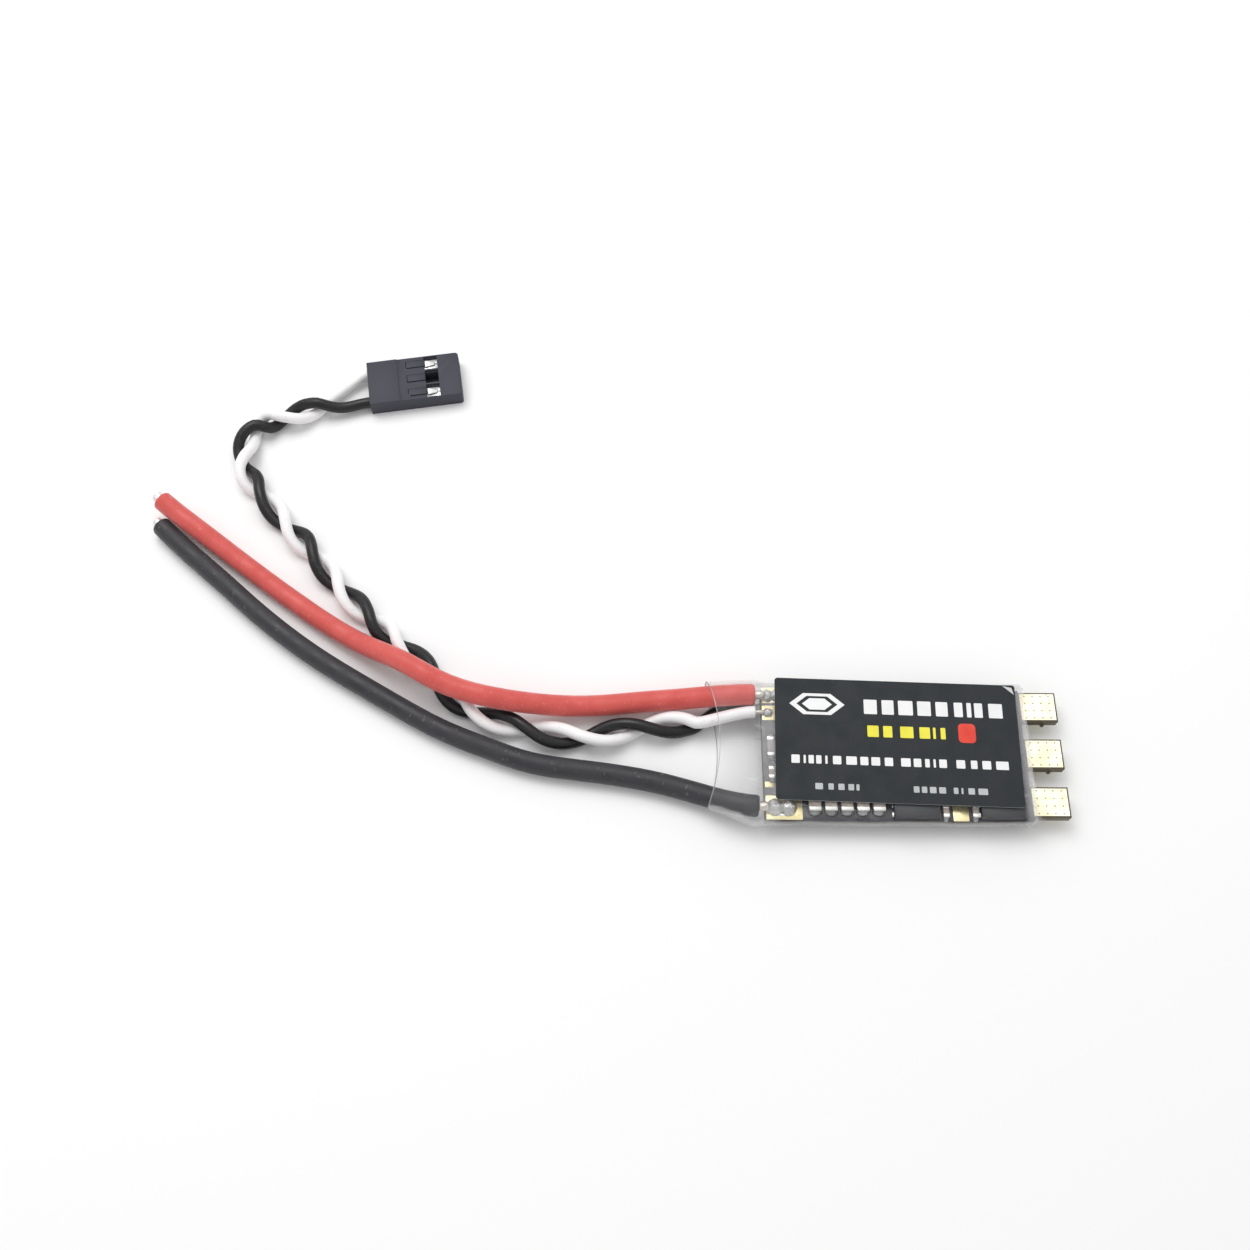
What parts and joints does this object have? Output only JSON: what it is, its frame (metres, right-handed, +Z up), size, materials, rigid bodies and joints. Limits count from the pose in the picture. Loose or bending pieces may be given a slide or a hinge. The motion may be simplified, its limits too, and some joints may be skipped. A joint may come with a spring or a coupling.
{
  "type": "electronic speed controller",
  "caption": "Flat brushless-motor speed controller board in a clear heat-shrink sleeve with a sticker, bare motor pads at one end, power leads and a twisted signal pair with a plug.",
  "frame": {"origin": "under the middle of the sleeve-covered body, on the surface it lies on; the cords and their plug are left out of the measure", "axes": "+X along the board towards the three motor pads, +Y across the board towards the side where the signal wires leave, +Z up out of the labelled face"},
  "size_m": [0.127, 0.0747, 0.0065],
  "materials": {
    "board_solder_mask": "dark blue-purple solder mask, semi-gloss",
    "clear_film": "clear heat-shrunk film, glossy",
    "label_black": "matte charcoal sticker",
    "gold_plate": "gold-plated copper",
    "chip_black": "moulded epoxy",
    "chip_ceramic": "fired ceramic with tinned ends",
    "solder": "solder, bright and lumpy",
    "tinned_copper": "tinned copper strand",
    "red_silicone": "matte silicone insulation",
    "black_silicone": "matte silicone insulation",
    "white_silicone": "matte silicone insulation",
    "plug_plastic": "moulded black plastic, fine texture",
    "terminal_metal": "tin-plated pressed metal"
  },
  "bodies": {
    "root": {"black_lead_core": "tinned_copper", "black_lead_tinned_tip": "solder", "black_power_lead": "black_silicone", "black_signal_wire": "black_silicone", "black_wire_core": "tinned_copper", "bootstrap_capacitor_left": "chip_ceramic", "bootstrap_capacitor_right": "chip_ceramic", "bus_capacitor_1": "chip_ceramic", "bus_capacitor_2": "chip_ceramic", "bus_capacitor_3": "chip_ceramic", "bus_capacitor_4": "chip_ceramic", "bus_capacitor_5": "chip_ceramic", "circuit_board": "board_solder_mask", "gate_driver_a": "chip_black", "gate_driver_b": "chip_black", "gate_driver_c": "chip_black", "ground_terminal": "terminal_metal", "heat_shrink_sleeve": "clear_film", "input_capacitor": "chip_ceramic", "label": "label_black", "microcontroller": "chip_black", "mosfet_a_high_side": "chip_black", "mosfet_a_low_side": "chip_black", "mosfet_b_high_side": "chip_black", "mosfet_b_low_side": "chip_black", "mosfet_c_high_side": "chip_black", "mosfet_c_low_side": "chip_black", "motor_pad_a_top": "gold_plate", "motor_pad_a_under": "gold_plate", "motor_pad_b_top": "gold_plate", "motor_pad_b_under": "gold_plate", "motor_pad_c_top": "gold_plate", "motor_pad_c_under": "gold_plate", "negative_power_pad": "gold_plate", "negative_solder_joint": "solder", "plug_housing": "plug_plastic", "positive_power_pad": "gold_plate", "positive_solder_joint": "solder", "probe_pad": "gold_plate", "red_lead_core": "tinned_copper", "red_lead_tinned_tip": "solder", "red_power_lead": "red_silicone", "shunt_resistor": "chip_ceramic", "signal_ground_pad": "gold_plate", "signal_ground_solder_joint": "solder", "signal_pad": "gold_plate", "signal_solder_joint": "solder", "signal_terminal": "terminal_metal", "test_pad": "gold_plate", "voltage_regulator": "chip_black", "white_signal_wire": "white_silicone", "white_wire_core": "tinned_copper"},
    "tongue_1": {"latch_tongue_1": "plug_plastic"},
    "tongue_2": {"latch_tongue_2": "plug_plastic"},
    "tongue_3": {"latch_tongue_3": "plug_plastic"}
  },
  "joints": [
    {"name": "latch_tongue_1_flex", "type": "hinge", "parent": "root", "child": "tongue_1", "pos_m": [-0.06833, 0.06214, 0.00236], "axis": [0.1564, -0.9877, 0], "range_deg": [0, 12], "stiffness_Nm_per_rad": 0.0004},
    {"name": "latch_tongue_2_flex", "type": "hinge", "parent": "root", "child": "tongue_2", "pos_m": [-0.06794, 0.05964, 0.00236], "axis": [0.1564, -0.9877, 0], "range_deg": [0, 12], "stiffness_Nm_per_rad": 0.0004},
    {"name": "latch_tongue_3_flex", "type": "hinge", "parent": "root", "child": "tongue_3", "pos_m": [-0.06754, 0.05713, 0.00236], "axis": [0.1564, -0.9877, 0], "range_deg": [0, 12], "stiffness_Nm_per_rad": 0.0004}
  ]
}
